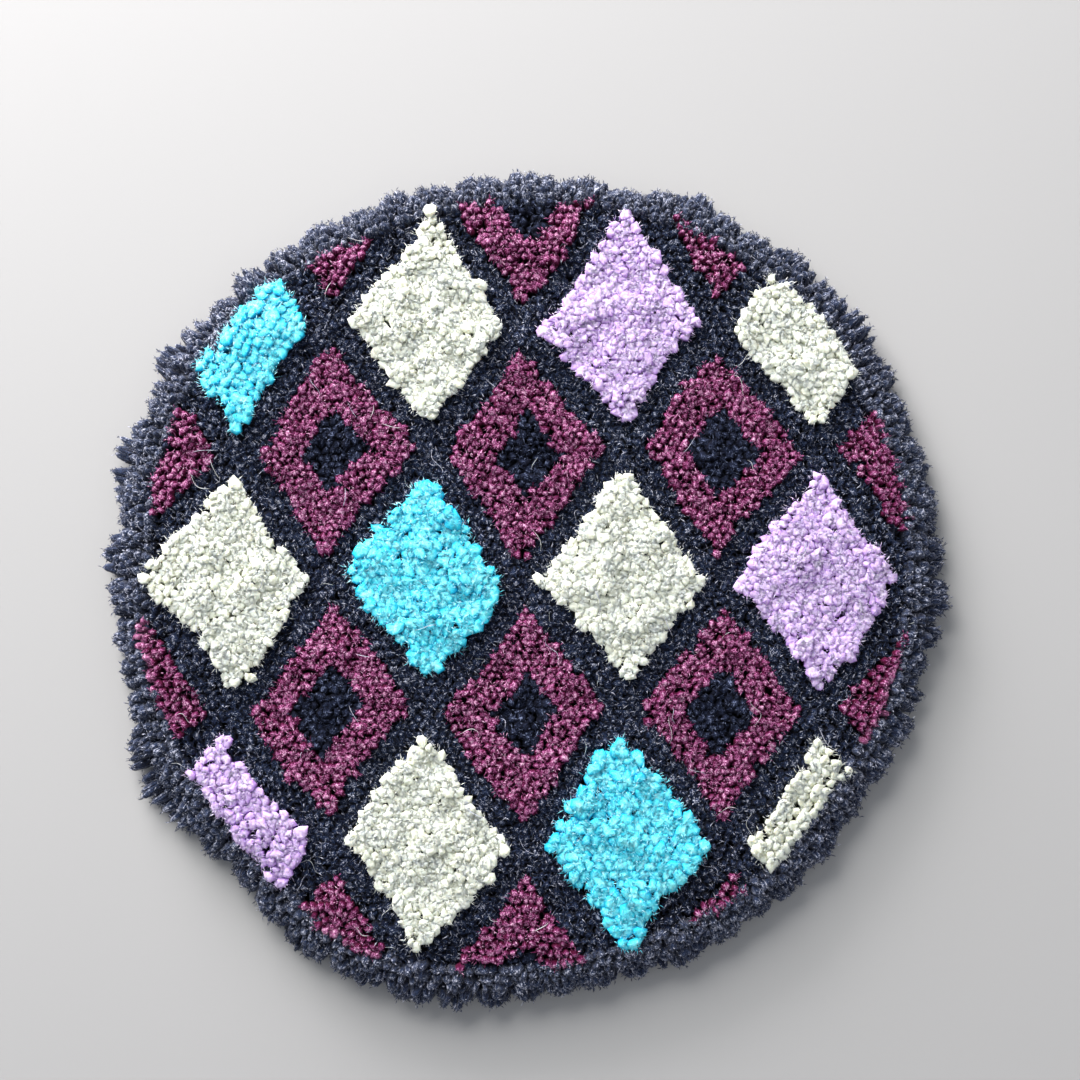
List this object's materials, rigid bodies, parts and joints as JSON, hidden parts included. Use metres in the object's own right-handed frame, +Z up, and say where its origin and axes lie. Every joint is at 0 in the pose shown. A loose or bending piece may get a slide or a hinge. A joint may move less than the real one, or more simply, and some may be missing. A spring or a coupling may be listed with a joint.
{
  "type": "round tufted table rug",
  "caption": "Round table rug of thick cut pile with a flat underside, an uneven hand-trimmed edge and yarn locks splayed round its rim.",
  "frame": {"origin": "centre of the flat underside, on the surface that the rug lies on", "axes": "+Z up out of the pile, +X to the right and +Y away from a person who looks at the rug on the table"},
  "size_m": [0.2893, 0.2893, 0.0157],
  "materials": {
    "charcoal_yarn": "matt fuzzy cut pile, soft pale sheen at grazing angles",
    "burgundy_yarn": "matt cut pile, rosy tips over near-black gaps",
    "cream_yarn": "matt plump cut pile",
    "aqua_yarn": "matt plump cut pile",
    "lilac_yarn": "matt plump cut pile",
    "black_yarn": "matt fuzzy cut pile",
    "ground_cloth": "plain woven cloth, matt"
  },
  "bodies": {
    "root": {"table_rug": "charcoal_yarn"}
  },
  "joints": []
}
